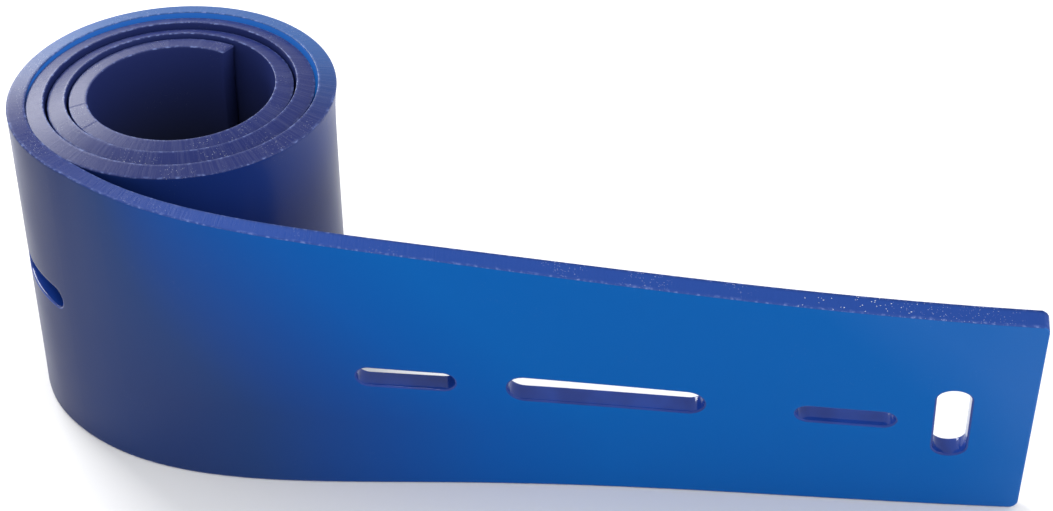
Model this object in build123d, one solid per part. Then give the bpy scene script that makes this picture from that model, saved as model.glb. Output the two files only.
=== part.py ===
from build123d import *
from math import sin, cos, radians, degrees, atan2, hypot, pi, exp
import os

os.makedirs("parts", exist_ok=True)

# ---------------------------------------------------------------- driving dimensions (mm, degrees)
HEIGHT = 70.0            # strip's height, long edge to long edge
THICK = 3.9              # strip's thickness

# the roll: centre line radius = R_START at 180 degrees, growing by PITCH every turn
ROLL_X, ROLL_Y = 0.8, 0.76
R_START = 19.68
PITCH = 4.5
BACK_SLACK = 0.3         # the turns part a little more at the back, this much more per turn
TURN_0 = 60.0            # angle of the inner end
TURN_END = 1297.8        # angle where the strip leaves the roll
TURN_CUTS = [TURN_0, TURN_0 + 360, TURN_0 + 720, TURN_0 + 1080]
TURN_STEP = 15.0

# the free tail: heading (degrees) and lean (degrees) against the distance from the roll
TAIL_LENGTH = 206.8
SETTLE = 39.4            # length over which the roll's curl dies away
HEAD_FAR, HEAD_RISE = -11.57, 0.0517
CURL_1, CURL_2, CURL_3 = -1.2, 50.3, -14.1
LEAN_FROM, LEAN_OVER, LEAN_MOST, LEAN_POWER = 12.0, 91.7, 21.4, 1.38

# where the tail bends; the stretches stop short of each bend by BEND_GAP
BENDS = [12.0, 30.0, 48.0, 66.0, 97.4, 151.6, 184.2]
BEND_GAP = 0.34
END_ROUND = 2.0          # corners of the free end
END_SLANT = 3.0          # the free end is cut this much shorter at the top than at the bottom
SECTION_STEP = 6.0

# slots: distance along the tail, height of the centre, length along the strip, size across it
SLOTS = {
    "roll": (-4.0, 34.6, 19.5, 5.0),
    "near": (81.8, 33.6, 20.0, 5.0),
    "long": (122.6, 33.2, 40.0, 7.0),
    "far": (170.7, 32.8, 19.6, 5.3),
    "upright": (191.4, 33.0, 6.6, 24.4),
}
UPRIGHT_TURN = 2.4       # the upright slot leans back with the slanted end (degrees)
MOUTH_ROUND = 0.3        # the slots' mouths are softened where they open on a face


# ---------------------------------------------------------------- the strip's centre line
def radius(turn):
    lift = max(0.0, sin(radians(turn)))
    return R_START + PITCH * (turn - 180) / 360 + BACK_SLACK * (turn - TURN_0) / 360 * lift ** 2


def roll_point(turn):
    """Point and heading of the centre line at an angle of the roll."""
    r, a = radius(turn), radians(turn)
    slope = (radius(turn + 0.5) - radius(turn - 0.5)) / radians(1.0)
    heading = degrees(atan2(r * cos(a) + slope * sin(a), slope * cos(a) - r * sin(a)))
    return ROLL_X + r * cos(a), ROLL_Y + r * sin(a), heading


LEAVE_X, LEAVE_Y, LEAVE_HEADING = roll_point(TURN_END)


def tail_heading(s):
    x = s / SETTLE
    curl = LEAVE_HEADING - HEAD_FAR + CURL_1 * x + CURL_2 * x ** 2 + CURL_3 * x ** 3
    return HEAD_FAR + HEAD_RISE * s + curl * exp(-x)


def tail_point(s):
    """Point and heading of the centre line at a distance along the tail (the middle of the wall)."""
    steps = max(1, round(abs(s)))
    x, y, ds = LEAVE_X, LEAVE_Y, s / steps
    for i in range(steps):
        a = radians(tail_heading((i + 0.5) * ds))
        x, y = x + cos(a) * ds, y + sin(a) * ds
    return x, y, tail_heading(s)


def lean(s):
    if s <= LEAN_FROM:
        return 0.0
    return LEAN_MOST * (1 - exp(-((s - LEAN_FROM) / LEAN_OVER) ** LEAN_POWER))


def wall_frame(s):
    """Bottom of the outer face, then the unit vectors along the strip, up it and out of it."""
    x, y, heading = tail_point(s)
    a, b = radians(heading), radians(lean(s))
    along = Vector(cos(a), sin(a), 0)
    flat = Vector(sin(a), -cos(a), 0)
    up = flat * sin(b) + Vector(0, 0, cos(b))
    out = flat * cos(b) - Vector(0, 0, sin(b))
    return Vector(x, y, 0) + flat * (THICK / 2), along, up, out


def offset_point(x, y, heading, side):
    a = radians(heading)
    return x + side * sin(a), y - side * cos(a)


def wall_outline(stations):
    """Face between the two offset curves through a run of centre line points."""
    outer = [offset_point(*p, THICK / 2) for p in stations]
    inner = [offset_point(*p, -THICK / 2) for p in stations]
    with BuildSketch() as sk:
        with BuildLine():
            a = Spline(*outer)
            b = Spline(*inner)
            Line(a @ 0, b @ 0)
            Line(a @ 1, b @ 1)
        make_face()
    return sk.sketch


def evenly(start, stop, step):
    n = max(2, round(abs(stop - start) / step))
    return [start + (stop - start) * i / n for i in range(n + 1)]


def slot_frame(name):
    """Middle of the wall at a slot, then the unit vectors along the strip, up it and out of it."""
    s, height = SLOTS[name][:2]
    if s < 0:
        x, y, heading = roll_point(TURN_END + degrees(s / radius(TURN_END)))
        a = radians(heading)
        return Vector(x, y, height), Vector(cos(a), sin(a), 0), Vector(0, 0, 1), Vector(sin(a), -cos(a), 0)
    foot, along, up, out = wall_frame(s)
    middle = foot + up * height - out * (THICK / 2)
    if name == "upright":
        turn = radians(UPRIGHT_TURN)
        along, up = along * cos(turn) + up * sin(turn), up * cos(turn) - along * sin(turn)
    return middle, along, up, out


def slot_cutter(name):
    """Rounded slot, square to the wall, running well past both faces."""
    length, across = SLOTS[name][2:]
    centre, along, up, out = slot_frame(name)
    reach = 8.0
    plane = Plane(origin=centre, x_dir=along, z_dir=out)
    if length >= across:
        shape = SlotOverall(length, across)
    else:
        shape = SlotOverall(across, length, rotation=90)
    return extrude(plane * shape, reach) + extrude(plane * shape, -reach)


def slotted(solid, name):
    """The solid with its slot cut through and both mouths softened."""
    length, across = SLOTS[name][2:]
    centre, along, up, out = slot_frame(name)
    cut = solid - slot_cutter(name)
    rims = []
    for e in cut.edges():
        spots = [e.position_at(k) - centre for k in (0.0, 0.5, 1.0)]
        inside = all(abs(p.dot(along)) < length / 2 + 0.3 and abs(p.dot(up)) < across / 2 + 0.3 for p in spots)
        if inside and abs(e.tangent_at(0.5).dot(out)) < 0.6:
            rims.append(e)
    return fillet(rims, MOUTH_ROUND)


nodes = {}

# ---------------------------------------------------------------- the roll, one node a turn
turn_names = ["inner_turn", "second_turn", "third_turn"]
for name, a0, a1 in zip(turn_names, TURN_CUTS[:-1], TURN_CUTS[1:]):
    stations = [roll_point(a) for a in evenly(a0, a1, TURN_STEP)]
    nodes[name] = extrude(wall_outline(stations), HEIGHT)

stations = [roll_point(a) for a in evenly(TURN_CUTS[-1], TURN_END, TURN_STEP)[:-1]]
stations += [tail_point(s) for s in evenly(0.0, BENDS[0] - BEND_GAP, 6.0)]
nodes["outer_turn"] = extrude(wall_outline(stations), HEIGHT)

# ---------------------------------------------------------------- the tail, one node a stretch
stretch_names = ["first_stretch", "second_stretch", "third_stretch", "near_slot_stretch",
                 "long_slot_stretch", "far_slot_stretch", "end_stretch"]
END_SPARE = 4.0          # the end stretch is made longer, then cut at a slant
stops = BENDS + [TAIL_LENGTH + END_SPARE + BEND_GAP]
for name, s0, s1 in zip(stretch_names, stops[:-1], stops[1:]):
    sections = []
    for s in evenly(s0 + BEND_GAP, s1 - BEND_GAP, SECTION_STEP):
        foot, along, up, out = wall_frame(s)
        middle = foot + up * (HEIGHT / 2) - out * (THICK / 2)
        plane = Plane(origin=middle, x_dir=out, z_dir=along)
        sections.append(plane * Rectangle(THICK, HEIGHT))
    nodes[name] = loft(sections)

# the free end: a slanted cut, then rounded corners
foot, along, up, out = wall_frame(TAIL_LENGTH)
cut_middle = foot + up * (HEIGHT / 2)
cut_up = (up * HEIGHT - along * END_SLANT).normalized()
cut_plane = Plane(origin=cut_middle, x_dir=out, z_dir=out.cross(cut_up) if out.cross(cut_up).dot(along) > 0
                  else cut_up.cross(out))
waste = extrude(cut_plane * Rectangle(60, 160), 30)
nodes["end_stretch"] = nodes["end_stretch"] - waste
end_out = cut_plane.z_dir
corner_edges = [e for e in nodes["end_stretch"].edges()
                if abs((e.center() - cut_middle).dot(end_out)) < 0.05
                and abs(abs(e.tangent_at(0.5).dot(out)) - 1) < 0.02]
nodes["end_stretch"] = fillet(corner_edges, END_ROUND)

# ---------------------------------------------------------------- slots
nodes["outer_turn"] = nodes["outer_turn"] - slot_cutter("roll")
nodes["near_slot_stretch"] = slotted(nodes["near_slot_stretch"], "near")
nodes["long_slot_stretch"] = slotted(nodes["long_slot_stretch"], "long")
nodes["far_slot_stretch"] = slotted(nodes["far_slot_stretch"], "far")
nodes["end_stretch"] = slotted(nodes["end_stretch"], "upright")

# ---------------------------------------------------------------- origin: middle of the base
boxes = [n.bounding_box() for n in nodes.values()]
low = Vector(*[min(getattr(b.min, k) for b in boxes) for k in "XYZ"])
high = Vector(*[max(getattr(b.max, k) for b in boxes) for k in "XYZ"])
shift = Vector(-(low.X + high.X) / 2, -(low.Y + high.Y) / 2, -low.Z)
for name, solid in nodes.items():
    moved = solid.moved(Location(shift))
    export_step(moved, f"parts/{name}.step")
    print(name, "volume", round(moved.volume), "solids", len(moved.solids()))

print("shift", tuple(round(v, 3) for v in shift))
print("size", high - low)
for s in BENDS:
    foot, along, up, out = wall_frame(s)
    axis_at = foot - out * (THICK / 2) + shift
    print("bend", s, "pos_m", [round(v / 1000, 6) for v in axis_at], "axis", [round(v, 6) for v in up])
for name in SLOTS:
    centre, along, up, out = slot_frame(name)
    print("slot", name, "middle_m", [round(v / 1000, 6) for v in centre + shift], "out", [round(v, 5) for v in out],
          "along", [round(v, 5) for v in along], "up", [round(v, 5) for v in up])
    print("  lower wall", [round(v / 1000, 6) for v in centre - up * (SLOTS[name][3] / 2) + shift])
    if name == "upright":
        print("  side wall", [round(v / 1000, 6) for v in centre - along * (SLOTS[name][2] / 2) + shift],
              "out of it", [round(v, 6) for v in along])
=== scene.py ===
# %% [markdown]
# # A slotted squeegee strip, partly rolled
#
# The object is one long strip of blue polyurethane rubber. Three and a half turns of it stand as a roll
# on the strip's long edge, and the rest runs free as a tail that leans over towards its far end. Blender
# gives this strip its looks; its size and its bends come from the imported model, which is loaded first.

# %% Load the frame
import math

import bpy
import numpy as np
from mathutils import Matrix, Vector


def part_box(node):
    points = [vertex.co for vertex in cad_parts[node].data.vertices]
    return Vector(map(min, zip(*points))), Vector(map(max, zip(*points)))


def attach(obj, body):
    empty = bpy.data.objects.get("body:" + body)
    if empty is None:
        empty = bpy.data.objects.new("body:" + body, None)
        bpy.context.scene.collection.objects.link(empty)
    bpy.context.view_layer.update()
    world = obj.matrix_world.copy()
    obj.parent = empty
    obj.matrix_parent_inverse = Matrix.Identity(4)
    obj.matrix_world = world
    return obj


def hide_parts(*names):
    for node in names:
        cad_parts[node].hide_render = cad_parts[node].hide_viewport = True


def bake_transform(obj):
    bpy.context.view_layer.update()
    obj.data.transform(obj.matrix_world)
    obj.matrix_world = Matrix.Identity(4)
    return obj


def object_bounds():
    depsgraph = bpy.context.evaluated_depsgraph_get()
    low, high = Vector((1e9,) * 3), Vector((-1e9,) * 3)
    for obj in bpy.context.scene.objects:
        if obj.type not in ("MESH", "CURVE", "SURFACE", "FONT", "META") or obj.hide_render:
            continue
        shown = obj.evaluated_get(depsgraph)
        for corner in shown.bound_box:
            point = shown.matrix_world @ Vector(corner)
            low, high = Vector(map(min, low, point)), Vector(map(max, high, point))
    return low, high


MM = 0.001
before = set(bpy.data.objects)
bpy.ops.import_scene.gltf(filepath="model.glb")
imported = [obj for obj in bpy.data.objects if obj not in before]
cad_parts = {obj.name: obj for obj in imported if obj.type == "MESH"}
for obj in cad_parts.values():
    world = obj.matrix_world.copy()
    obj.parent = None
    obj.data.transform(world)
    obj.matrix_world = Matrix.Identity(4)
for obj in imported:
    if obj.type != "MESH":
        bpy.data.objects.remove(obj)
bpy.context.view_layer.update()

# %% [markdown]
# ## The strip's own measurements
#
# Everything on the strip is placed by three numbers: how far along it, how high up its wall, and how
# deep below its outer face. Distances along count from where the tail leaves the roll, so they are
# negative in the roll. The same few numbers describe the curve that the strip follows: a spiral whose
# radius grows by one pitch a turn, and a tail whose heading settles as the roll's curl dies away.

# %% Driving dimensions (mm and degrees)
HEIGHT, THICK = 70.0, 3.9                       # long edge to long edge, and through the wall
ROLL_X, ROLL_Y = 0.8, 0.76                      # middle of the roll
R_START, PITCH, BACK_SLACK = 19.68, 4.5, 0.3    # radius at 180 degrees, growth a turn, slack at the back
TURN_0, TURN_END = 60.0, 1297.8                 # angles of the inner end and of leaving the roll
TAIL_LENGTH, SETTLE = 206.8, 39.4               # the free tail, and the length its curl dies away over
HEAD_FAR, HEAD_RISE = -11.57, 0.0517            # heading far out, and its slow change per mm
CURL_1, CURL_2, CURL_3 = -1.2, 50.3, -14.1      # shape of the dying curl
LEAN_FROM, LEAN_OVER, LEAN_MOST, LEAN_POWER = 12.0, 91.7, 21.4, 1.38    # where and how far the wall leans
END_ROUND, END_SLANT = 2.0, 3.0                 # the free end's corners, and how far its cut slants back

# slots: middle along the strip, middle up the wall, length along the strip, size across it
SLOTS = {
    "roll": (-4.0, 34.6, 19.5, 5.0),
    "near": (81.8, 33.6, 20.0, 5.0),
    "long": (122.6, 33.2, 40.0, 7.0),
    "far": (170.7, 32.8, 19.6, 5.3),
    "upright": (191.4, 33.0, 6.6, 24.4),
}
SLOT_TURN = {"upright": 2.4}    # this slot leans back with the slanted end

RIM_FLARE = 0.75      # how far the long edges curl outwards where the strip is tightly bent
FLARE_POWER = 8       # the curl stays close to the edge
RIM_FADE = (-50.0, -10.0)   # the curl dies away before the strip leaves the roll
ARRIS = 0.22          # small round on the long edges
MOUTH_ROUND = 0.4     # softer round on the slots' mouths

# how steeply the top edge tips outwards, against the distance along the strip
TILT_AT = (-563.0, -540.0, -480.0, -420.0, -260.0, -170.0, -74.0, -30.0, -5.0)
TILT = (0.05, 0.12, 0.22, 0.36, 0.30, 0.22, 0.17, 0.10, 0.0)

# %% [markdown]
# ## The centre line as a table
#
# A strip bends in plan only, so its path is a flat curve. The next cell samples that curve, and everything
# else reads the table. The roll is sampled by angle and then measured along, because its length per
# degree grows with the radius. The tail is walked step by step along its heading.


# %% Centre line
def roll_radius(turn):
    """Radius of the roll's centre line at an angle, a little slack at the back."""
    lift = np.maximum(0.0, np.sin(np.radians(turn)))
    return R_START + PITCH * (turn - 180) / 360 + BACK_SLACK * (turn - TURN_0) / 360 * lift ** 2


def centre_line():
    """Arrays of distance, x, y and heading (radians) from the inner end to the free end."""
    turn = np.linspace(TURN_0, TURN_END, 2400)
    r, a = roll_radius(turn), np.radians(turn)
    slope = (roll_radius(turn + 0.5) - roll_radius(turn - 0.5)) / math.radians(1.0)
    x, y = ROLL_X + r * np.cos(a), ROLL_Y + r * np.sin(a)
    heading = a + math.pi / 2 - np.arctan2(slope, r)
    length = np.concatenate([[0], np.cumsum(np.hypot(np.diff(x), np.diff(y)))])
    along = length - length[-1]

    s = np.linspace(0.0, TAIL_LENGTH + END_SLANT, 420)
    u = s / SETTLE
    leave = math.degrees(heading[-1]) - 1080.0 - 360.0
    curl = leave - HEAD_FAR + CURL_1 * u + CURL_2 * u ** 2 + CURL_3 * u ** 3
    tail_heading = np.radians(HEAD_FAR + HEAD_RISE * s + curl * np.exp(-u) + 1440.0)
    step = s[1] - s[0]
    middle = (tail_heading[1:] + tail_heading[:-1]) / 2
    tx = x[-1] + np.concatenate([[0], np.cumsum(np.cos(middle) * step)])
    ty = y[-1] + np.concatenate([[0], np.cumsum(np.sin(middle) * step)])
    return (np.concatenate([along, s[1:]]), np.concatenate([x, tx[1:]]),
            np.concatenate([y, ty[1:]]), np.concatenate([heading, tail_heading[1:]]))


LINE_S, LINE_X, LINE_Y, LINE_HEADING = centre_line()
LINE_BEND = np.gradient(LINE_HEADING, LINE_S)
INNER_END = float(LINE_S[0])
TIGHT = 1 / 33.0      # bend of the outer turn, where the rims curl fully
print("strip length mm", round(TAIL_LENGTH - INNER_END, 1))


def lean_of(s):
    """Lean of the wall, in radians, at distances along the strip."""
    gone = np.maximum(0.0, s - LEAN_FROM) / LEAN_OVER
    return np.radians(LEAN_MOST) * (1 - np.exp(-gone ** LEAN_POWER))


# %% How the wall stands along the line
def wall_bending(s):
    """Lean, share of the full rim flare, and tip of the top edge, at distances along the strip."""
    bend = np.clip(np.interp(s, LINE_S, LINE_BEND) / TIGHT, 0.0, 1.0)
    fade = np.clip((RIM_FADE[1] - s) / (RIM_FADE[1] - RIM_FADE[0]), 0.0, 1.0)
    return lean_of(s), bend * fade, np.interp(s, TILT_AT, TILT)


def origin_shift():
    """The row frame starts under the middle of the CAD box, so the line is moved to match the CAD turn."""
    s = np.linspace(INNER_END, INNER_END + 120.0, 3000)
    x, y, heading = (np.interp(s, LINE_S, values) for values in (LINE_X, LINE_Y, LINE_HEADING))
    turn_low, turn_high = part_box("inner_turn")
    right = (x + np.sin(heading) * THICK / 2).max() * MM
    front = (y - np.cos(heading) * THICK / 2).min() * MM
    return np.array([turn_high[0] - right, turn_low[1] - front, 0.0])


ORIGIN = origin_shift()
print("origin shift mm", np.round(ORIGIN / MM, 3))


# %% [markdown]
# ## A flat wall with holes in it, built as rows and columns
#
# Cutting slots with a boolean leaves long thin triangles that shade badly on a shiny bent surface. Here
# the strip is first made flat, as it leaves the mould: columns along it, rows up it, wrapped round both
# faces and both long edges. Where a slot comes, the grid leaves a rectangle open, and rings of points
# close in from the rectangle to the slot's rounded mouth, go through the wall and open out again behind.


# %% Rows and columns
def edge_rows():
    """Heights that follow the curled rims closely and the plain middle loosely."""
    low = [ARRIS, 0.8, 1.5, 2.3, 3.2, 4.3, 5.6, 7.2, 9.5, 12.5, 16.5, 21.0, 26.0, 31.0]
    return low + [HEIGHT / 2] + [HEIGHT - v for v in reversed(low)]


def with_block(values, low, high, step):
    """The values with a finely spaced block let in between low and high."""
    block = np.linspace(low, high, max(3, int(round((high - low) / step)) + 1))
    kept = [v for v in values if v < low - 0.4 * step or v > high + 0.4 * step]
    ends = [v for v in (values[0], values[-1]) if v not in kept]
    return sorted(kept + ends + [float(v) for v in block])


CORNER = [(1 - math.cos(math.radians(a)), math.sin(math.radians(a))) for a in (30, 60)]


def wall_section(rows):
    """(height, depth, arris) round the strip's section, starting up the outer face."""
    front = [(h, 0.0, 0.5 if h in (rows[0], rows[-1]) else 0.0) for h in rows]
    top = [(HEIGHT - ARRIS + ARRIS * up, ARRIS * back, 1.0) for back, up in CORNER]
    top += [(HEIGHT, ARRIS, 0.5)] + [(HEIGHT, THICK * k / 6, 0.0) for k in (1, 2, 3, 4, 5)]
    top += [(HEIGHT, THICK - ARRIS, 0.5)]
    top += [(HEIGHT - ARRIS + ARRIS * up, THICK - ARRIS * back, 1.0) for back, up in reversed(CORNER)]
    back = [(h, THICK, a) for h, _, a in reversed(front)]
    bottom = [(HEIGHT - h, THICK - d, a) for h, d, a in top]
    return front + top + back + bottom, len(top)


def end_pull(height):
    """How far the slanted cut and its rounded corners pull the end back at a height."""
    rise = np.maximum(0.0, END_ROUND - np.minimum(height, HEIGHT - height))
    corner = END_ROUND - np.sqrt(np.maximum(0.0, END_ROUND ** 2 - rise ** 2))
    return corner + END_SLANT * (height / HEIGHT - 0.5)


def slot_rings(name, corners):
    """Rings of (along, height, depth, arris) from a rectangle's points in to the slot, through and out."""
    s, h, length, across = SLOTS[name]
    turn = math.radians(SLOT_TURN.get(name, 0.0))
    own_axes = np.array([[math.cos(turn), math.sin(turn)], [-math.sin(turn), math.cos(turn)]])
    flat = (np.array(corners) - [s, h]) @ own_axes.T
    radius = min(length, across) / 2
    spare = max(length, across) / 2 - radius
    keel = np.zeros_like(flat)
    axis = 0 if length >= across else 1
    keel[:, axis] = np.clip(flat[:, axis], -spare, spare)
    away = flat - keel
    far = np.linalg.norm(away, axis=1, keepdims=True)
    away /= far
    # in to the mouth, round its edge, to the middle of the wall, and the same out again behind
    steps = [(radius + MOUTH_ROUND + (far - radius - MOUTH_ROUND) * k, 0.0, 0.0) for k in (0.6, 0.25, 0.0)]
    for a in (18, 36, 54, 72, 90):
        sink = math.radians(a)
        steps.append((radius + MOUTH_ROUND * (1 - math.sin(sink)), MOUTH_ROUND * (1 - math.cos(sink)), 0.4))
    steps.append((radius + 0 * far, THICK / 2, 0.0))
    steps += [(out, THICK - deep, a) for out, deep, a in reversed(steps[:-1])]
    rings = []
    for out, deep, arris in steps:
        flat_ring = (keel + away * out) @ own_axes + [s, h]
        rings.append(np.column_stack([flat_ring, np.full(len(flat), deep), np.full(len(flat), arris)]))
    return rings


# %% The grid of one piece
COLUMN_STEP = 1.3                               # mm between plain columns
BLOCK_STEP = 1.0                                # mm between rows and columns round a slot
SLOT_MARGIN_ALONG, SLOT_MARGIN_UP = 1.5, 3.0    # from a slot to the edge of its opening
END_ZONE = 6.0                                  # length that the slanted cut pulls on
END_COLUMNS = (END_ZONE, 4.5, 3.2, 2.2, 1.4, 0.7, ARRIS)
# share of the arrises' painted highlight and wear on a cut end
CUT_HIGHLIGHT_AND_WEAR = 0.2                                  # share of wear on a cut end
FACE, EDGE, MOUTH = 0, 1, 2                     # the three finishes
MOUTH_RINGS = range(3, 14)                      # a slot's rings that have the slot wall's finish


def grid_lines(start, stop, slots, end_start, end_stop):
    """The columns and rows of a piece, set closer round its slots and its free end."""
    rows = edge_rows()
    columns = [float(v) for v in np.linspace(start, stop, max(3, int((stop - start) / COLUMN_STEP)))]
    for slot in slots:
        s, h, length, across = SLOTS[slot]
        reach, rise = length / 2 + SLOT_MARGIN_ALONG, across / 2 + SLOT_MARGIN_UP
        rows = with_block(rows, h - rise, h + rise, BLOCK_STEP)
        columns = with_block(columns, s - reach, s + reach, BLOCK_STEP)
    if end_start:
        columns = [columns[0], columns[0] + ARRIS] + columns[1:]
    if end_stop:
        near = [columns[-1] - v for v in END_COLUMNS]
        columns = [c for c in columns if c < near[0] - 0.3] + near + [columns[-1]]
    return columns, rows


def column_points(columns, section, end_start, end_stop):
    """One ring of (along, height, depth, arris) for each column."""
    last = len(columns) - 1
    points = []
    for i, c in enumerate(columns):
        ring = np.column_stack([np.full(len(section), c), section])
        if (i == 0 and end_start) or (i == last and end_stop):
            ring[:, 1] = np.clip(ring[:, 1], ARRIS, HEIGHT - ARRIS)
            ring[:, 2] = np.clip(ring[:, 2], ARRIS, THICK - ARRIS)
            ring[:, 3] = CUT_HIGHLIGHT_AND_WEAR
        if end_stop and c > columns[last] - END_ZONE:
            ring[:, 0] -= end_pull(ring[:, 1]) * (c - columns[last] + END_ZONE) / END_ZONE
        points.append(ring)
    return list(np.concatenate(points))


def slot_openings(slots, columns, rows):
    """Index ranges of the cells left open round each slot."""
    openings = []
    for slot in slots:
        s, h, length, across = SLOTS[slot]
        reach, rise = length / 2 + SLOT_MARGIN_ALONG, across / 2 + SLOT_MARGIN_UP
        ia, ib = (int(np.argmin([abs(c - v) for c in columns])) for v in (s - reach, s + reach))
        ja, jb = (int(np.argmin([abs(r - v) for r in rows])) for v in (h - rise, h + rise))
        openings.append((slot, ia, ib, ja, jb))
    return openings


# %% Point numbers on the grid
class StripGrid:
    """Columns along a piece and rows up it, with a ring of points round the section at each column."""

    def __init__(self, columns, rows):
        self.columns, self.rows = columns, rows
        self.section, self.top = wall_section(rows)
        self.ring, self.last_row = len(self.section), len(rows) - 1

    def at(self, column, place):
        """Number of the point at a column and a place round its ring."""
        return column * self.ring + place % self.ring

    def behind(self, row):
        """Place on the ring of the back face's point at a row."""
        return 2 * self.last_row + 1 + self.top - row

    def face_row(self, place):
        """Row of the quad that starts at a place, or None on a long edge."""
        row = place if place < self.last_row else self.behind(place) - 1
        return row if 0 <= row < self.last_row else None


# %% Faces of a flat piece
def wall_faces(grid, openings):
    """Quads between neighbouring columns, all round the section, with the slots' cells left open."""
    faces, kinds = [], []
    for i in range(len(grid.columns) - 1):
        for k in range(grid.ring):
            row = grid.face_row(k)
            if row is not None and any(ia <= i < ib and ja <= row < jb for _, ia, ib, ja, jb in openings):
                continue
            faces.append((grid.at(i, k), grid.at(i + 1, k), grid.at(i + 1, k + 1), grid.at(i, k + 1)))
            kinds.append(EDGE if row is None else FACE)
    return faces, kinds


def cap_faces(grid, column, flip):
    """Faces that close the section at one end of the piece."""
    last = grid.last_row
    rings = [(j, j + 1, grid.behind(j + 1), grid.behind(j)) for j in range(last)]
    rings += [range(last, last + grid.top + 2), range(2 * last + grid.top + 1, grid.ring + 1)]
    caps = [tuple(grid.at(column, k) for k in ring) for ring in rings]
    return [cap[::-1] if flip else cap for cap in caps], [EDGE if flip else FACE] * len(caps)


def slot_faces(grid, opening, first_point):
    """A slot's rings of new points, and the bands of quads from its opening in front to the one behind."""
    slot, ia, ib, ja, jb = opening
    border = [(i, ja) for i in range(ia, ib)] + [(ib, j) for j in range(ja, jb)]
    border += [(i, jb) for i in range(ib, ia, -1)] + [(ia, j) for j in range(jb, ja, -1)]
    rings = slot_rings(slot, [(grid.columns[i], grid.rows[j]) for i, j in border])
    n = len(border)
    lines = [[grid.at(i, j) for i, j in border]]
    lines += [[first_point + number * n + k for k in range(n)] for number in range(len(rings))]
    lines += [[grid.at(i, grid.behind(j)) for i, j in border]]
    faces, kinds = [], []
    for number, (near, far) in enumerate(zip(lines[:-1], lines[1:])):
        faces += [(near[k], near[(k + 1) % n], far[(k + 1) % n], far[k]) for k in range(n)]
        kinds += [MOUTH if number in MOUTH_RINGS else FACE] * n
    return rings, faces, kinds


# %% One flat piece of strip
def flat_piece(name, start, stop, slots=(), end_start=False, end_stop=False):
    """A closed flat mesh of the strip between two distances, with its slots."""
    grid = StripGrid(*grid_lines(start, stop, slots, end_start, end_stop))
    points = column_points(grid.columns, np.array(grid.section), end_start, end_stop)
    openings = slot_openings(slots, grid.columns, grid.rows)
    faces, kinds = wall_faces(grid, openings)
    for column, flip in ((0, False), (len(grid.columns) - 1, True)):
        caps, cap_kinds = cap_faces(grid, column, flip)
        faces, kinds = faces + caps, kinds + cap_kinds
    for opening in openings:
        rings, bands, band_kinds = slot_faces(grid, opening, len(points))
        points.extend(np.concatenate(rings))
        faces, kinds = faces + bands, kinds + band_kinds
    return flat_mesh(name, np.array(points), faces, kinds)


# %% The flat mesh and what it remembers
CM = 0.1              # strip places are stored in centimetres, a handy size for textures
UV_SCALE = 0.01


def new_object(name, data):
    """An object linked into the scene."""
    obj = bpy.data.objects.new(name, data)
    bpy.context.collection.objects.link(obj)
    return obj


def flat_mesh(name, points, faces, kinds):
    """A flat object in metres, with the strip place, the arrises' share of painted highlight and wear, and
    the kind of each face stored.
    """
    used = sorted({v for f in faces for v in f})
    order = {v: i for i, v in enumerate(used)}
    points = points[used]
    mesh = bpy.data.meshes.new(name)
    mesh.from_pydata(points[:, [0, 2, 1]] * MM, [], [tuple(order[v] for v in f) for f in faces])
    mesh.polygons.foreach_set("use_smooth", [True] * len(faces))
    mesh.attributes.new("strip_place", "FLOAT_VECTOR", "POINT").data.foreach_set(
        "vector", (points[:, :3] * CM).astype(np.float32).ravel())
    arris = mesh.attributes.new("arris", "FLOAT", "POINT")
    arris.data.foreach_set("value", points[:, 3].astype(np.float32))
    mesh.attributes.new("finish", "INT", "FACE").data.foreach_set("value", np.array(kinds, dtype=np.int32))
    uv = mesh.uv_layers.new(name="strip_map")
    corner = np.empty(len(mesh.loops), dtype=np.int32)
    mesh.loops.foreach_get("vertex_index", corner)
    flat = np.column_stack([points[:, 0], points[:, 1] + points[:, 2]])[corner] * UV_SCALE
    uv.data.foreach_set("uv", flat.astype(np.float32).ravel())
    mesh.update()
    return new_object(name, mesh)


# %% [markdown]
# ## Node helpers
#
# Math, Vector Math and Mix nodes are the same in shader trees and geometry trees, so a few small helpers
# serve both. Wherever a helper takes an input, it takes either a socket to link from or a plain value.


# %% Node helpers
def feed(tree, socket, value):
    """Links a socket from another one, or sets its own value."""
    if isinstance(value, bpy.types.NodeSocket):
        tree.links.new(value, socket)
    else:
        socket.default_value = value


def add(tree, kind, values=None, **settings):
    """A node with its settings, and a socket or a value for each input that is named or numbered."""
    node = tree.nodes.new(kind)
    for key, value in settings.items():
        setattr(node, key, value)
    for key, value in (values or {}).items():
        feed(tree, node.inputs[key], value)
    return node


def combine(tree, operation, a, b):
    """A Math node on two sockets or numbers."""
    return add(tree, "ShaderNodeMath", {0: a, 1: b}, operation=operation).outputs[0]


def times(tree, a, b):
    """Product of two sockets or numbers."""
    return combine(tree, "MULTIPLY", a, b)


def plus(tree, a, b):
    """Sum of two sockets or numbers."""
    return combine(tree, "ADD", a, b)


def minus(tree, a, b):
    """Difference of two sockets or numbers."""
    return combine(tree, "SUBTRACT", a, b)


def vector_math(tree, operation, a, b):
    """A Vector Math node on two sockets or vectors; a number b scales a."""
    second = "Scale" if operation == "SCALE" else 1
    return add(tree, "ShaderNodeVectorMath", {0: a, second: b}, operation=operation).outputs[0]


def named(tree, name, kind="FLOAT_VECTOR"):
    """The values of a stored attribute in a geometry tree."""
    node = add(tree, "GeometryNodeInputNamedAttribute", {"Name": name}, data_type=kind)
    return node.outputs["Attribute"]


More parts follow.
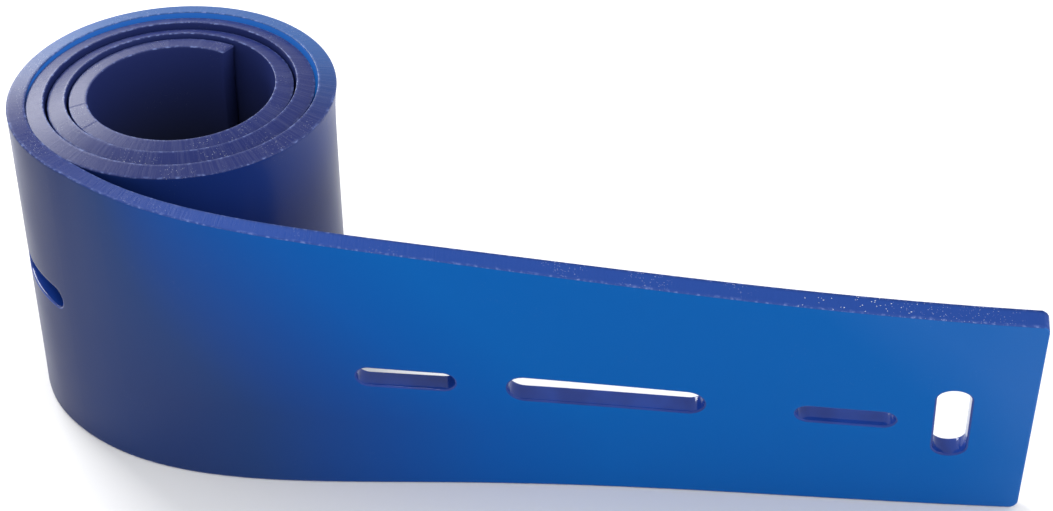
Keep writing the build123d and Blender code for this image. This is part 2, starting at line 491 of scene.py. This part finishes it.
def geometry_tree(name, inputs):
    """An empty geometry tree with a geometry in, a geometry out and the named inputs."""
    tree = bpy.data.node_groups.new(name, "GeometryNodeTree")
    tree.interface.new_socket(name="Geometry", in_out="INPUT", socket_type="NodeSocketGeometry")
    tree.interface.new_socket(name="Geometry", in_out="OUTPUT", socket_type="NodeSocketGeometry")
    for label, kind in inputs:
        tree.interface.new_socket(name=label, in_out="INPUT", socket_type=kind)
    return tree, tree.nodes.new("NodeGroupInput").outputs, tree.nodes.new("NodeGroupOutput").inputs


def apply_tree(obj, tree, values):
    """Runs a geometry tree on an object and keeps the result as the object's plain mesh."""
    modifier = obj.modifiers.new(tree.name, "NODES")
    modifier.node_group = tree
    sockets = {item.name: item.identifier for item in tree.interface.items_tree if item.in_out == "INPUT"}
    for label, value in values.items():
        modifier[sockets[label]] = value
    evaluated = obj.evaluated_get(bpy.context.evaluated_depsgraph_get())
    mesh = bpy.data.meshes.new_from_object(evaluated)
    mesh.name = obj.name
    obj.modifiers.clear()
    obj.data = mesh
    return mesh


# %% [markdown]
# ## Bending the flat strip with Geometry Nodes
#
# The whole shape follows one rule: take a point of the flat strip, go to its distance along the centre
# line, step out sideways and up the leaning wall. A geometry tree does that for every point at once. The
# centre line goes in as an object whose points carry the lean, the flare of the rims and the tip of the
# top edge, and Sample Curve reads all three where each point needs them.


# %% Centre line object
def line_object():
    """The centre line as a chain of points, with the bending of the wall stored on each."""
    mesh = bpy.data.meshes.new("centre_line")
    places = np.column_stack([LINE_X, LINE_Y, np.zeros(len(LINE_S))]) * MM + ORIGIN
    mesh.from_pydata(places, [(i, i + 1) for i in range(len(places) - 1)], [])
    bending = np.column_stack(wall_bending(LINE_S)).astype(np.float32)
    mesh.attributes.new("bending", "FLOAT_VECTOR", "POINT").data.foreach_set("vector", bending.ravel())
    return new_object("centre_line", mesh)


# %% Reading the line
def sample_line(tree, come, along):
    """The Sample Curve node at a distance along the line, and the wall's bending there."""
    line = add(tree, "GeometryNodeObjectInfo", {"Object": come["Centre Line"]})
    curve = add(tree, "GeometryNodeMeshToCurve", {0: line.outputs["Geometry"]})
    spot = add(tree, "GeometryNodeSampleCurve", {
        "Curves": curve.outputs[0], "Value": named(tree, "bending"),
        "Length": minus(tree, along, come["Line Start"])}, mode="LENGTH", data_type="FLOAT_VECTOR")
    bending = add(tree, "ShaderNodeSeparateXYZ", {0: spot.outputs["Value"]})
    return spot, bending.outputs


# %% Standing off the line
def wall_offsets(tree, come, height, depth, bending):
    """How far sideways and how far up a point of the leaning, flared wall stands from the line."""
    lean, share, tip = bending
    half_up = combine(tree, "DIVIDE", times(tree, height, 2.0), come["Height"])
    from_middle = minus(tree, half_up, 1.0)
    curl = combine(tree, "POWER", combine(tree, "ABSOLUTE", from_middle, 0.0), come["Flare Power"])
    half_thick = times(tree, come["Thickness"], 0.5)
    lean_sin, lean_cos = combine(tree, "SINE", lean, 0.0), combine(tree, "COSINE", lean, 0.0)
    flare = times(tree, times(tree, share, curl), come["Rim Flare"])
    reach = minus(tree, times(tree, height, lean_sin), times(tree, depth, lean_cos))
    reach = plus(tree, plus(tree, reach, half_thick), flare)
    top_only = times(tree, combine(tree, "GREATER_THAN", from_middle, 0.0), curl)
    tipped = times(tree, times(tree, tip, top_only), minus(tree, depth, half_thick))
    rise = plus(tree, times(tree, height, lean_cos), times(tree, depth, lean_sin))
    return reach, plus(tree, rise, tipped)


# %% The bending tree
def dress(tree, come, shape):
    """Gives the faces of each finish their material."""
    finish = named(tree, "finish", "INT")
    for number, label in ((FACE, "Face Material"), (EDGE, "Edge Material"), (MOUTH, "Mouth Material")):
        chosen = combine(tree, "COMPARE", finish, number)
        dressed = add(tree, "GeometryNodeSetMaterial", {
            "Geometry": shape, "Selection": chosen, "Material": come[label]})
        shape = dressed.outputs[0]
    return shape


def bending_tree():
    """Flat strip in, bent strip out."""
    tree, come, go = geometry_tree("bend along the centre line", [
        ("Centre Line", "NodeSocketObject"), ("Line Start", "NodeSocketFloat"),
        ("Height", "NodeSocketFloat"), ("Thickness", "NodeSocketFloat"),
        ("Rim Flare", "NodeSocketFloat"), ("Flare Power", "NodeSocketFloat"),
        ("Face Material", "NodeSocketMaterial"), ("Edge Material", "NodeSocketMaterial"),
        ("Mouth Material", "NodeSocketMaterial")])
    flat = add(tree, "ShaderNodeSeparateXYZ", {0: add(tree, "GeometryNodeInputPosition").outputs[0]})
    along, depth, height = flat.outputs
    spot, bending = sample_line(tree, come, along)
    reach, rise = wall_offsets(tree, come, height, depth, bending)
    sideways = vector_math(tree, "CROSS_PRODUCT", spot.outputs["Tangent"], (0.0, 0.0, 1.0))
    place = vector_math(tree, "ADD", spot.outputs["Position"], vector_math(tree, "SCALE", sideways, reach))
    place = vector_math(tree, "ADD", place, vector_math(tree, "SCALE", (0.0, 0.0, 1.0), rise))
    bent = add(tree, "GeometryNodeSetPosition", {"Geometry": come["Geometry"], "Position": place})
    real = add(tree, "GeometryNodeRealizeInstances", {0: bent.outputs[0]})
    tree.links.new(dress(tree, come, real.outputs[0]), go["Geometry"])
    print("bending tree nodes", len(tree.nodes))
    return tree


# %% [markdown]
# ## Surface effects shared by the finishes
#
# Two things show all over the strip: tiny pale specks of dust and lint that rubber always holds, and a
# faint unevenness of the cast skin. Each is a node group with named inputs, so every finish can place it
# with values of its own. The groups only put out masks and heights; the shader itself stays in each
# material.


# %% Shader helpers
def new_group(name, inputs, outputs):
    """An empty shader node group with the given sockets."""
    group = bpy.data.node_groups.new(name, "ShaderNodeTree")
    for label, kind, default in inputs:
        socket = group.interface.new_socket(name=label, in_out="INPUT", socket_type=kind)
        if default is not None:
            socket.default_value = default
    for label, kind in outputs:
        group.interface.new_socket(name=label, in_out="OUTPUT", socket_type=kind)
    return group, group.nodes.new("NodeGroupInput").outputs, group.nodes.new("NodeGroupOutput").inputs


def ramp(tree, source, low, high, out_low=0.0, out_high=1.0):
    """A smooth change from out_low to out_high as the source goes from low to high."""
    node = add(tree, "ShaderNodeMapRange", {
        "Value": source, "From Min": low, "From Max": high, "To Min": out_low, "To Max": out_high},
        interpolation_type="SMOOTHSTEP")
    return node.outputs["Result"]


def blend_colours(tree, factor, a, b):
    """A Mix node on colours; each of a and b is a socket or a colour."""
    return add(tree, "ShaderNodeMix", {0: factor, 6: a, 7: b}, data_type="RGBA").outputs[2]


# %% Dust specks
def dust_specks():
    """Pale specks, in patches: a place, the cells' scale and the specks' size in, a mask out."""
    group, come, go = new_group("dust specks", [("Place", "NodeSocketVector", None),
                                                ("Scale", "NodeSocketFloat", 30.0),
                                                ("Size", "NodeSocketFloat", 0.12)],
                                [("Mask", "NodeSocketFloat")])
    cells = add(group, "ShaderNodeTexVoronoi", {"Vector": come["Place"], "Scale": come["Scale"]},
                feature="F1", distance="EUCLIDEAN")
    dot = combine(group, "LESS_THAN", cells.outputs["Distance"], come["Size"])
    patches = add(group, "ShaderNodeTexNoise", {"Vector": come["Place"], "Scale": 0.9, "Detail": 2.0})
    patchy = ramp(group, patches.outputs["Fac"], 0.52, 0.66)
    group.links.new(times(group, dot, patchy), go["Mask"])
    return group


# %% Uneven skin
def uneven_skin():
    """Slow waves and fine grain of the cast surface: a place and two scales in, height and shade out."""
    group, come, go = new_group("uneven skin", [("Place", "NodeSocketVector", None),
                                                ("Wave", "NodeSocketFloat", 0.35),
                                                ("Grain", "NodeSocketFloat", 14.0)],
                                [("Height", "NodeSocketFloat"), ("Shade", "NodeSocketFloat")])
    wave = add(group, "ShaderNodeTexNoise", {"Vector": come["Place"], "Scale": come["Wave"], "Detail": 2.0})
    grain = add(group, "ShaderNodeTexNoise", {
        "Vector": come["Place"], "Scale": come["Grain"], "Detail": 4.0, "Roughness": 0.6})
    fine = times(group, grain.outputs["Fac"], 0.12)
    group.links.new(plus(group, wave.outputs["Fac"], fine), go["Height"])
    group.links.new(wave.outputs["Fac"], go["Shade"])
    return group


SPECKS, SKIN = dust_specks(), uneven_skin()


def place_group(tree, group, place, **values):
    """A group node fed with the strip place."""
    return add(tree, "ShaderNodeGroup", {"Place": place, **values}, node_tree=group)


# %% [markdown]
# ## The finishes
#
# The rubber lets a little light through. Where the wall stands free, light from behind makes it a clear
# strong blue; in the roll, wall lies behind wall and the blue falls to navy. That depends only on the
# place along the strip, so it is mixed in from there instead of being traced through the wall. The
# moulded faces are satin. The long edges are sawn: rougher, a little more violet, and streaked across.


# %% Colours of the rubber, and the light and shade painted on it
BLACK = (0.0, 0.0, 0.0, 1.0)
# outer face, painted light through the wall: distance from the roll in mm, and the colour there, from backed
# by turns to free wall
FACE_STOPS = [(0.0, (0.009, 0.019, 0.094)), (30.0, (0.008, 0.036, 0.150)), (45.0, (0.006, 0.046, 0.215)),
              (60.0, (0.005, 0.060, 0.275)), (80.0, (0.004, 0.084, 0.350)), (105.0, (0.003, 0.104, 0.392)),
              (185.0, (0.003, 0.106, 0.395)), (206.0, (0.014, 0.118, 0.415))]
FACE_SPAN = 210.0       # mm covered by the ramp
RISE_SHIFT = 0.85       # the top of the wall turns blue this much sooner for each mm of height
SEEN_HEIGHT = 42.0      # height where the stops stand at their own distances
LOWEST = 20.0           # no further shift below this height
# painted shade and light inside the roll: the turns' inner faces navy in the hollow, bluer towards the top
INNER_SHADE_NAVY = (0.030, 0.033, 0.038, 1.0)
INNER_LIT_TOP = (0.020, 0.030, 0.130, 1.0)
# painted light on the rolled turns' outer face just under the top edge
OUTER_LIT_UNDER_RIM = (0.012, 0.034, 0.170, 1.0)
# painted light: emission that stands in for light coming through the outer turn
GLOW = (0.010, 0.120, 0.440, 1.0)
GLOW_STRENGTH = 0.85

# long edges; their navy in the roll, their blue on the free tail and EDGE_LIT are painted light, as on the
# face
EDGE_FREE = (0.020, 0.062, 0.282, 1.0)
EDGE_BACK = (0.004, 0.020, 0.120, 1.0)
EDGE_LIT = (0.030, 0.150, 0.430, 1.0)
EDGE_ROLLED = (0.009, 0.018, 0.120, 1.0)
# saw streaks painted paler in the roll as a sheen
SAW_SHEEN_PALE = (0.20, 0.22, 0.36, 1.0)
# arrises: painted highlight, paler in spots where they are also worn
ARRIS_HIGHLIGHT_AND_WEAR = (0.20, 0.27, 0.58, 1.0)
NICKS = (-518.0, -510.0)    # two fine cuts across the innermost rim, in mm along the strip

# slot walls, and the dust that lies on everything
MOUTH_DARK = (0.007, 0.030, 0.200, 1.0)
MOUTH_LIGHT = (0.010, 0.045, 0.270, 1.0)
DUST = (0.72, 0.76, 0.82, 1.0)
DUST_BLUISH, DUST_WHITE = (0.55, 0.60, 0.72, 1.0), (0.85, 0.87, 0.90, 1.0)

# %% Where the finishes change, in cm along the strip, up it and into it
TAIL_CLEARS = (1.0, 4.0)            # the tail has no turn close behind it any more
ROLL_BEGINS = (0.0, -2.0)           # going back from the tail into the roll
# band of painted light on the outer face in the roll
UNDER_RIM_LIT_BAND = (4.8, 6.9)               # outer face, just under the top edge
# height over which the inner faces' painted shade turns to painted light
INNER_LIT_BAND = (3.0, 6.9)             # inner face, which turns bluer towards the top
INNER_SIDE = (0.30, 0.36)           # depth of the inner face
INNER_SIDE_ENDS = (4.0, 0.5)        # past here the inner face has the free wall's colour
# the inner end's cut takes the inner faces' painted shade
INNER_CUT = (-56.2, -56.27)         # the cut across the strip's inner end
SHEEN_FADES = (1.0, 9.5)
END_SHEEN = (18.8, 20.7)            # a little gloss comes back at the free end
GLOW_FROM, GLOW_TO = (-1.6, -3.0), (-13.5, -11.5)
GLOW_SIDE, GLOW_BAND = (0.33, 0.38), (5.8, 6.7)
EDGE_CLEARS = (-1.0, 6.0)
BACK_ARRIS = (0.30, 0.38)
LIT_FROM, LIT_TO = (-1.5, -5.0), (-14.0, -10.0)
EDGE_GLOSS = (0.0, -3.0)
NICK_WIDTH = (0.01, 0.035)


# %% Shared starts
def start_material(name):
    """A material with its shader and the strip place, split into its three measurements in cm."""
    material = bpy.data.materials.new(name)
    material.use_nodes = True
    tree = material.node_tree
    shader = tree.nodes["Principled BSDF"]
    spot = add(tree, "ShaderNodeAttribute", attribute_name="strip_place")
    parts = add(tree, "ShaderNodeSeparateXYZ", {0: spot.outputs["Vector"]})
    return material, tree, shader, spot.outputs["Vector"], parts.outputs


def set_inputs(tree, shader, values):
    """What feeds the shader's sockets; an even value is set on the socket itself."""
    for label, value in values.items():
        feed(tree, shader.inputs[label], value)


def relief(tree, height, strength, distance):
    """A bumped normal from a height."""
    bump = add(tree, "ShaderNodeBump", {"Height": height, "Strength": strength, "Distance": distance})
    return bump.outputs["Normal"]


def colour_ramp(tree, source, stops):
    """A Color Ramp over 0 to 1 with its own stops."""
    node = add(tree, "ShaderNodeValToRGB", {"Fac": source})
    marks = node.color_ramp.elements
    while len(marks) < len(stops):
        marks.new(0.5)
    for mark, (place, colour) in zip(marks, stops):
        mark.position, mark.color = place, (*colour, 1.0)
    return node.outputs["Color"]


# %% Colour of the moulded face
def place_seen(tree, along, height):
    """Distance along the strip, moved on with height because the top of the wall clears the roll first."""
    lifted = minus(tree, combine(tree, "MAXIMUM", height, LOWEST * CM), SEEN_HEIGHT * CM)
    return plus(tree, along, times(tree, lifted, RISE_SHIFT))


def face_colour(tree, along, height, depth, seen):
    """Painted light and shade: free or backed wall outside, a lit band under the rim in the roll, and the
    turns' inner side painted dark in the hollow.
    """
    moved = times(tree, minus(tree, seen, along), ramp(tree, along, *TAIL_CLEARS))
    share = times(tree, plus(tree, along, moved), 1.0 / (FACE_SPAN * CM))
    outside = colour_ramp(tree, share, [(mm / FACE_SPAN, colour) for mm, colour in FACE_STOPS])
    # painted light: the outer face in the roll lighter and bluer just under its top edge
    lit_under_rim = times(tree, ramp(tree, height, *UNDER_RIM_LIT_BAND), ramp(tree, along, *ROLL_BEGINS))
    outside = blend_colours(tree, lit_under_rim, outside, OUTER_LIT_UNDER_RIM)
    # painted shade inside the roll, lighter towards the top
    inside = blend_colours(tree, ramp(tree, height, *INNER_LIT_BAND), INNER_SHADE_NAVY, INNER_LIT_TOP)
    inner = times(tree, ramp(tree, depth, *INNER_SIDE), ramp(tree, along, *INNER_SIDE_ENDS))
    inner = combine(tree, "MAXIMUM", inner, ramp(tree, along, *INNER_CUT))
    return blend_colours(tree, inner, outside, inside)


def glow_colour(tree, along, height, depth):
    """Painted light, as emission: light that comes through the outer turn from behind, seen inside under its
    rim.
    """
    through = times(tree, ramp(tree, along, *GLOW_FROM), ramp(tree, along, *GLOW_TO))
    through = times(tree, through, ramp(tree, depth, *GLOW_SIDE))
    through = times(tree, through, ramp(tree, height, *GLOW_BAND))
    return blend_colours(tree, through, BLACK, GLOW)


# %% Moulded face
def face_material():
    """Satin cast skin with a soft sheen where the roll begins."""
    material, tree, shader, place, (along, height, depth) = start_material("moulded face")
    seen = place_seen(tree, along, height)
    colour = face_colour(tree, along, height, depth, seen)
    skin = place_group(tree, SKIN, place, Wave=0.35, Grain=14.0)
    specks = place_group(tree, SPECKS, place, Scale=22.0, Size=0.06)
    colour = blend_colours(tree, times(tree, specks.outputs["Mask"], 0.35), colour, DUST)
    sheen = ramp(tree, seen, *SHEEN_FADES, 0.30, 0.0)
    set_inputs(tree, shader, {
        "Base Color": colour, "Roughness": ramp(tree, skin.outputs["Shade"], 0.3, 0.7, 0.30, 0.42),
        "Specular IOR Level": 0.02, "Coat Roughness": 0.22,
        "Coat Weight": plus(tree, sheen, ramp(tree, along, *END_SHEEN, 0.0, 0.10)),
        "Emission Color": glow_colour(tree, along, height, depth), "Emission Strength": GLOW_STRENGTH,
        "Normal": relief(tree, skin.outputs["Height"], 0.25, 0.0004)})
    print(material.name, "nodes", len(tree.nodes))
    return material


# %% [markdown]
# ## The sawn edge
#
# The long edges are cut with a blade after casting, so they show fine streaks from face to face. A noise
# stretched across the strip draws them, and in the roll the streaks are painted paler as a sheen. In the
# tight roll the edges tip outwards and catch the light; a thin coat does that there and fades out on the
# tail. The arrises carry a painted highlight, paler in spots where they are also worn.


# %% Colour of the sawn edge
def edge_base(tree, along, depth, free):
    """Navy in the roll and blue on the free tail, both painted light; darker at its back; painted light
    through the rims round the roll's back.
    """
    colour = blend_colours(tree, free, EDGE_ROLLED, EDGE_FREE)
    at_back = times(tree, ramp(tree, depth, *BACK_ARRIS), times(tree, free, 0.7))
    colour = blend_colours(tree, at_back, colour, EDGE_BACK)
    # painted light through the rims round the roll's back
    lit = times(tree, ramp(tree, along, *LIT_FROM), ramp(tree, along, *LIT_TO))
    return blend_colours(tree, times(tree, lit, 0.5), colour, EDGE_LIT)


def highlight_and_wear_on_arris(tree, place):
    """How much of the arris is painted pale: a highlight everywhere a little, and more in spots where it is
    also worn.
    """
    arris = add(tree, "ShaderNodeAttribute", attribute_name="arris")
    spots = add(tree, "ShaderNodeTexNoise", {"Vector": place, "Scale": 9.0, "Detail": 4.0})
    highlight_wear_share = ramp(tree, spots.outputs["Fac"], 0.48, 0.68, 0.08, 0.7)
    return times(tree, arris.outputs["Fac"], highlight_wear_share)


def edge_gloss(tree, along):
    """Gloss of the rolled rims, broken by the two nicks."""
    gloss = ramp(tree, along, *EDGE_GLOSS, 0.0, 0.32)
    for cut in NICKS:
        off = combine(tree, "ABSOLUTE", minus(tree, along, cut * CM), 0.0)
        gloss = times(tree, gloss, ramp(tree, off, *NICK_WIDTH, 0.25, 1.0))
    return gloss


# %% Sawn edge
def edge_material():
    """Sawn rubber, streaked across by the blade and speckled with dust."""
    material, tree, shader, place, (along, _, depth) = start_material("sawn edge")
    free = ramp(tree, along, *EDGE_CLEARS)
    colour = edge_base(tree, along, depth, free)
    saw = add(tree, "ShaderNodeMapping", {"Vector": place, "Scale": (9.0, 1.0, 0.35)})
    marks = add(tree, "ShaderNodeTexNoise", {
        "Vector": saw.outputs["Vector"], "Scale": 2.2, "Detail": 5.0, "Roughness": 0.7}).outputs["Fac"]
    # the saw streaks are real; in the roll they are painted paler as a sheen where the rims catch the light
    in_roll = times(tree, minus(tree, 1.0, free), 0.10)
    sheen_streak = times(tree, ramp(tree, marks, 0.42, 0.68), in_roll)
    colour = blend_colours(tree, sheen_streak, colour, SAW_SHEEN_PALE)
    # painted highlight along the arrises, with wear in spots
    colour = blend_colours(tree, highlight_and_wear_on_arris(tree, place), colour, ARRIS_HIGHLIGHT_AND_WEAR)
    specks = place_group(tree, SPECKS, place, Scale=24.0, Size=0.14)
    colour = blend_colours(tree, times(tree, specks.outputs["Mask"], 0.6), colour, DUST)
    set_inputs(tree, shader, {
        "Base Color": colour, "Roughness": ramp(tree, marks, 0.3, 0.7, 0.30, 0.44),
        "Specular IOR Level": 0.03, "Coat Weight": edge_gloss(tree, along), "Coat Roughness": 0.35,
        "Normal": relief(tree, marks, 0.5, 0.0003)})
    print(material.name, "nodes", len(tree.nodes))
    return material


# %% [markdown]
# ## The slot walls
#
# The slots' walls are the glossiest part of the strip, as if moulded against polished cores. A low base
# reflection keeps their blue deep, and a smooth coat gives the small bright dots at the round ends.


# %% Slot wall
def mouth_material():
    """Moulded slot wall, smoother and glossier than the faces."""
    material, tree, shader, place, _ = start_material("slot wall")
    skin = place_group(tree, SKIN, place, Wave=1.2, Grain=20.0)
    shade = ramp(tree, skin.outputs["Shade"], 0.3, 0.7)
    set_inputs(tree, shader, {
        "Base Color": blend_colours(tree, shade, MOUTH_DARK, MOUTH_LIGHT),
        "Roughness": ramp(tree, shade, 0.0, 1.0, 0.14, 0.24),
        "Specular IOR Level": 0.06, "Coat Weight": 0.5, "Coat Roughness": 0.08,
        "Normal": relief(tree, skin.outputs["Height"], 0.12, 0.0003)})
    print(material.name, "nodes", len(tree.nodes))
    return material


FINISHES = [face_material(), edge_material(), mouth_material()]

# %% [markdown]
# ## The pieces
#
# The rolled part is stiff and rides on the roll. Each piece of the tail is bent along the centre line to its
# place, and neighbouring pieces meet outside the stretches that the table lists for turning.

# %% Bend and place a piece
LINE, BEND_TREE = line_object(), bending_tree()
SHARP_ANGLE = math.radians(50)


def strip_piece(name, *span, **ends):
    """A finished, bent piece of strip."""
    piece = flat_piece(name, *span, **ends)
    face, edge, mouth = FINISHES
    mesh = apply_tree(piece, BEND_TREE, {
        "Centre Line": LINE, "Line Start": INNER_END * MM, "Height": HEIGHT * MM, "Thickness": THICK * MM,
        "Rim Flare": RIM_FLARE * MM, "Flare Power": float(FLARE_POWER),
        "Face Material": face, "Edge Material": edge, "Mouth Material": mouth})
    mesh.set_sharp_from_angle(angle=SHARP_ANGLE)
    print(name, "faces", len(mesh.polygons), "finishes", len(mesh.materials))
    return piece


# %% The rolled turns
ROLL_STOP = 7.5
rolled = strip_piece("rolled_turns", INNER_END, ROLL_STOP, ["roll"], end_start=True)
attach(rolled, "roll")
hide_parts("inner_turn", "second_turn", "third_turn", "outer_turn")

# %% The tail
# name, from, to, body before, body after, where the turning starts and stops, slots, CAD node it stands for
TAIL_PIECES = [
    ("tail_leaving_roll", ROLL_STOP, 21.0, "roll", "first", (8.0, 16.0), [], "first_stretch"),
    ("tail_second", 21.0, 39.0, "first", "second", (22.0, 38.0), [], "second_stretch"),
    ("tail_third", 39.0, 57.0, "second", "third", (40.0, 56.0), [], "third_stretch"),
    ("tail_near_slot", 57.0, 93.6, "third", "near_slot", (58.5, 73.5), ["near"], "near_slot_stretch"),
    ("tail_long_slot", 93.6, 144.3, "near_slot", "long_slot", (94.2, 100.6), ["long"], "long_slot_stretch"),
    ("tail_far_slot", 144.3, 182.25, "long_slot", "far_slot", (145.2, 158.0), ["far"], "far_slot_stretch"),
    ("tail_end", 182.25, TAIL_LENGTH, "far_slot", "end", (182.5, 186.2), ["upright"], "end_stretch"),
]
tail = {}
for name, start, stop, before, after, (turn_from, turn_to), slots, node in TAIL_PIECES:
    piece = strip_piece(name, start, stop, slots, end_stop=(stop == TAIL_LENGTH))
    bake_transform(piece)
    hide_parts(node)
    tail[name] = piece
bpy.data.objects.remove(LINE)

# %% [markdown]
# ## Dust on the top edge
#
# Dust gathers on the sawn top edge near the free end, where the strip has been handled. The bits are
# scattered on the finished piece's own surface with a fixed seed, as small flattened balls of few faces,
# so they lie on the edge. The bits hang on the far slot's body.


# %% Scatter tree
def dust_tree():
    """Surface in, loose bits of dust out, between two distances along the strip's top edge."""
    tree, come, go = geometry_tree("dust on the top edge", [
        ("From", "NodeSocketFloat"), ("To", "NodeSocketFloat"), ("Edge Height", "NodeSocketFloat"),
        ("Density", "NodeSocketFloat"), ("Bit Radius", "NodeSocketFloat"), ("Seed", "NodeSocketInt"),
        ("Dust Material", "NodeSocketMaterial")])
    place = add(tree, "ShaderNodeSeparateXYZ", {0: named(tree, "strip_place")})
    along, height, _ = place.outputs
    past_start = combine(tree, "GREATER_THAN", along, come["From"])
    inside = times(tree, past_start, combine(tree, "LESS_THAN", along, come["To"]))
    on_top = times(tree, inside, combine(tree, "GREATER_THAN", height, come["Edge Height"]))
    scatter = add(tree, "GeometryNodeDistributePointsOnFaces", {
        "Mesh": come["Geometry"], "Selection": on_top, "Density": come["Density"], "Seed": come["Seed"]})
    ball = add(tree, "GeometryNodeMeshIcoSphere", {"Radius": come["Bit Radius"], "Subdivisions": 1})
    size = add(tree, "FunctionNodeRandomValue", data_type="FLOAT_VECTOR", values={
        0: (0.5, 0.5, 0.3), 1: (1.6, 1.2, 0.7), "Seed": come["Seed"]})
    bits = add(tree, "GeometryNodeInstanceOnPoints", {
        "Points": scatter.outputs["Points"], "Instance": ball.outputs["Mesh"],
        "Rotation": scatter.outputs["Rotation"], "Scale": size.outputs[0]})
    real = add(tree, "GeometryNodeRealizeInstances", {0: bits.outputs[0]})
    dressed = add(tree, "GeometryNodeSetMaterial", {
        "Geometry": real.outputs[0], "Material": come["Dust Material"]})
    tree.links.new(dressed.outputs[0], go["Geometry"])
    return tree


# %% Dust bits
def dust_material():
    """Dull, slightly uneven pale dust."""
    material, tree, shader, place, _ = start_material("dust")
    skin = place_group(tree, SKIN, place, Wave=4.0, Grain=30.0)
    tint = blend_colours(tree, skin.outputs["Shade"], DUST_BLUISH, DUST_WHITE)
    set_inputs(tree, shader, {"Base Color": tint, "Roughness": 0.9})
    return material


edge_dust = new_object("edge_dust", tail["tail_far_slot"].data.copy())
dust_mesh = apply_tree(edge_dust, dust_tree(), {
    "From": 160.0 * CM, "To": 182.0 * CM, "Edge Height": (HEIGHT - 0.02) * CM,
    "Density": 4.5e5, "Bit Radius": 0.10 * MM, "Seed": 7, "Dust Material": dust_material()})
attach(edge_dust, "far_slot")
print("dust faces", len(dust_mesh.polygons))

# %% [markdown]
# ## Floor, light and camera
#
# A pale floor and a bright, even sky give the soft studio look. One broad light from the left and behind
# skims the sawn edges, a weaker one from the right keeps the roll's side from going flat, and a small one
# high in front puts bright dots on the glossy slot walls. The camera looks down at the strip from the front
# at about thirty-six degrees with a long lens.

# %% Stage
FLOOR_DROP = 0.2 * MM       # the floor lies this far under the strip, so the two don't flicker
FLOOR_REACH = 12            # floor's half width against the object's diagonal
low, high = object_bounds()
middle = (low + high) / 2
half = (high - low).length * FLOOR_REACH
floor_mesh = bpy.data.meshes.new("floor")
floor_corners = [(-half, -half), (half, -half), (half, half), (-half, half)]
floor_mesh.from_pydata([(x, y, -FLOOR_DROP) for x, y in floor_corners], [], [(0, 1, 2, 3)])
floor = new_object("floor", floor_mesh)
pale = bpy.data.materials.new("pale floor")
pale.use_nodes = True
set_inputs(pale.node_tree, pale.node_tree.nodes["Principled BSDF"], {
    "Base Color": (0.9, 0.9, 0.9, 1.0), "Roughness": 0.9})
floor_mesh.materials.append(pale)
print("floor half width m", round(half, 2))

# %% Sky and lights
world = bpy.data.worlds.new("studio sky")
bpy.context.scene.world = world
world.use_nodes = True
set_inputs(world.node_tree, world.node_tree.nodes["Background"], {
    "Color": (1.0, 1.0, 1.0, 1.0), "Strength": 1.0})


def soft_light(name, place, aim, width, height, power):
    """A rectangular light at a place, turned to face the aim."""
    data = bpy.data.lights.new(name, "AREA")
    data.shape, data.size, data.size_y, data.energy = "RECTANGLE", width, height, power
    lamp = new_object(name, data)
    lamp.location = place
    lamp.rotation_euler = (Vector(aim) - Vector(place)).to_track_quat("-Z", "Y").to_euler()
    print(name, power, "W")


soft_light("window light", (-0.34, 0.44, 0.335), middle, 0.26, 0.20, 3.0)
soft_light("side fill", (0.7, -0.4, 0.5), middle, 0.6, 0.6, 2.0)
soft_light("catch light", (-0.15, -0.5, 0.75), middle, 0.06, 0.06, 0.25)

# %% Camera
# where it stands, and its own three directions
CAMERA_PLACE = Vector((3.309, -405.677, 337.645)) * MM
RIGHT = Vector((0.99992, -0.00746, -0.01024))
DOWN = Vector((-0.01267, -0.58884, -0.80815))
AHEAD = Vector((0.0, 0.80822, -0.58888))
LENS, SENSOR_WIDTH = 81.98, 36.0
camera_data = bpy.data.cameras.new("camera")
camera_data.sensor_width, camera_data.lens = SENSOR_WIDTH, LENS
camera = new_object("camera", camera_data)
turn = Matrix((RIGHT, -DOWN, -AHEAD)).transposed()
camera.matrix_world = Matrix.Translation(CAMERA_PLACE) @ turn.to_4x4()
bpy.context.scene.camera = camera
bpy.context.scene.view_settings.view_transform = "Standard"
